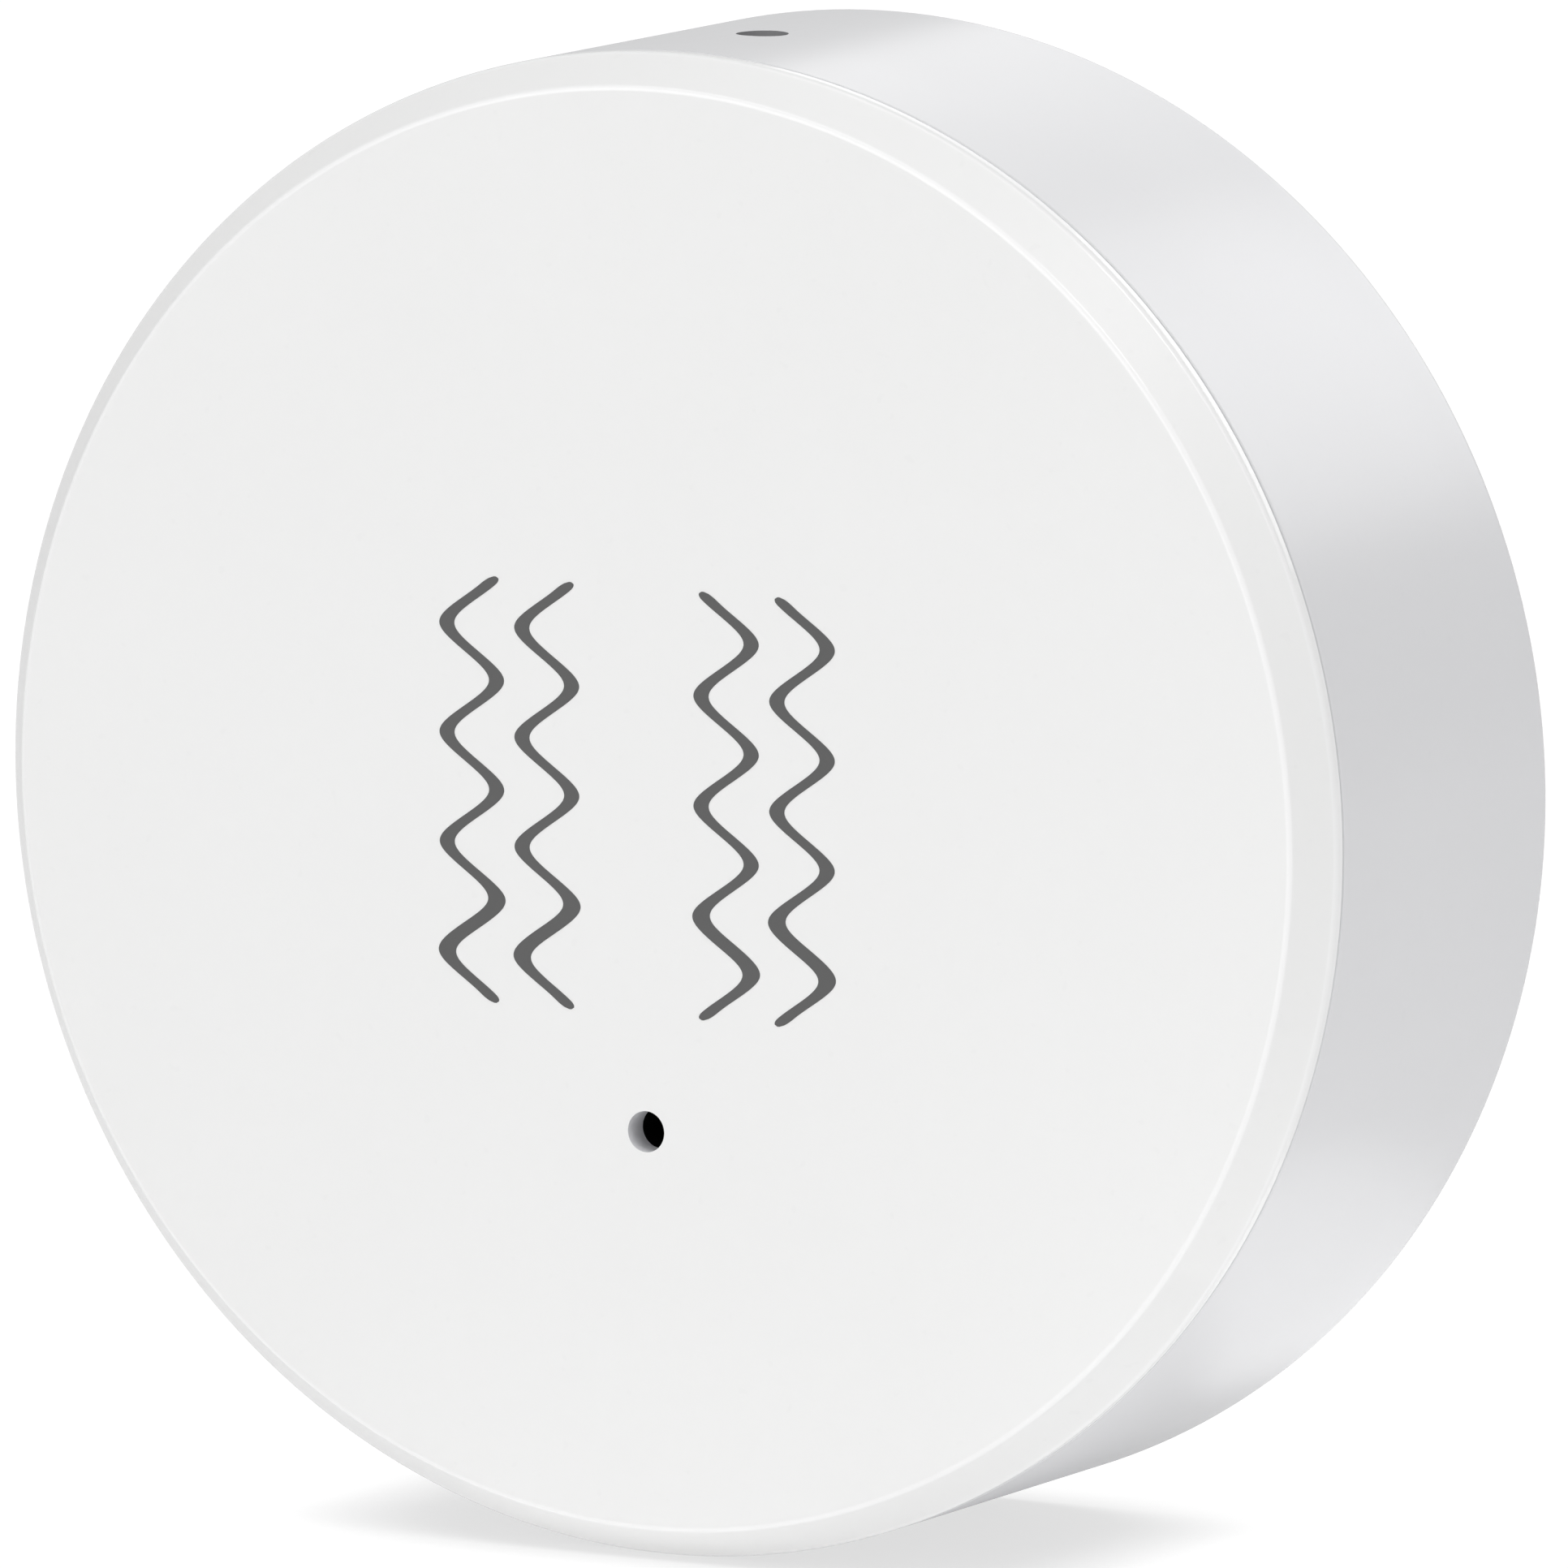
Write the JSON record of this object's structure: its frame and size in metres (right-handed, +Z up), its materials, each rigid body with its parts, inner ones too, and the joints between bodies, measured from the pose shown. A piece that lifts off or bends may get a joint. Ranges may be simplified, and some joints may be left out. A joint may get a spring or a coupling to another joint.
{
  "type": "vibration sensor",
  "caption": "Round battery-powered vibration sensor with a chamfered face, a pinhole status light, a reset pinhole and a twist-off wall plate with an adhesive pad.",
  "frame": {"origin": "middle of the adhesive pad's outer face, where the tag meets the wall", "axes": "+Y into the wall, the printed front faces -Y, +Z up with the reset pinhole on top"},
  "size_m": [0.04, 0.0135, 0.04],
  "materials": {
    "white_cover": "fine matt moulded face, white ABS",
    "white_shell": "smooth satin moulded wall, white ABS",
    "white_plate": "matt moulded, white ABS",
    "adhesive_foam": "double-sided foam tape, dull off-white",
    "grey_foam": "soft closed-cell foam",
    "tray_plastic": "matt moulded, dark grey",
    "screw_steel": "zinc plated",
    "board_green": "green solder mask over glass fibre",
    "module_black": "dark blue solder mask",
    "copper_gold": "gold flash over copper",
    "tin_plate": "tin plate",
    "chip_black": "moulded epoxy",
    "tantalum_yellow": "moulded epoxy, yellow",
    "ceramic_tan": "fired ceramic",
    "lens_green": "clear resin",
    "sleeve_black": "matt, light-tight",
    "cell_steel": "nickel plated",
    "gasket_grey": "nylon seal",
    "spring_gold": "gold flash",
    "tube_blue": "moulded, blue",
    "switch_black": "moulded, black"
  },
  "bodies": {
    "wall_plate": {"back_cover": "white_plate", "adhesive_pad": "adhesive_foam", "battery_foam_pad": "grey_foam"},
    "housing": {"front_cover": "white_cover", "side_shell": "white_shell", "battery_tray": "tray_plastic", "tray_screws": "screw_steel", "circuit_board": "board_green", "radio_board": "module_black", "radio_antenna": "copper_gold", "radio_shield": "tin_plate", "radio_chip": "chip_black", "radio_crystal": "tin_plate", "reservoir_capacitor": "tantalum_yellow", "chip_capacitors": "ceramic_tan", "chip_resistors": "chip_black", "status_led": "lens_green", "led_sleeve": "sleeve_black", "coin_cell_can": "cell_steel", "coin_cell_gasket": "gasket_grey", "coin_cell_cap": "cell_steel", "positive_contact": "spring_gold", "negative_contact": "spring_gold", "vibration_switch_tube": "tube_blue", "vibration_switch_base": "switch_black", "vibration_switch_pin": "tin_plate", "vibration_switch_spring": "spring_gold", "reset_switch_base": "switch_black", "reset_switch_frame": "tin_plate", "reset_switch_dome": "tin_plate"},
    "reset_button": {"reset_switch_plunger": "switch_black"}
  },
  "joints": [
    {"name": "housing_twist", "type": "hinge", "parent": "wall_plate", "child": "housing", "pos_m": [0, -0.007, 0], "axis": [0, -1, 0], "range_deg": [0, 25]},
    {"name": "reset_press", "type": "slide", "parent": "housing", "child": "reset_button", "axis": [0, 0, -1], "range_m": [0, 0.00025], "stiffness_N_per_m": 2000, "deforming": ["reset_switch_dome"]}
  ]
}
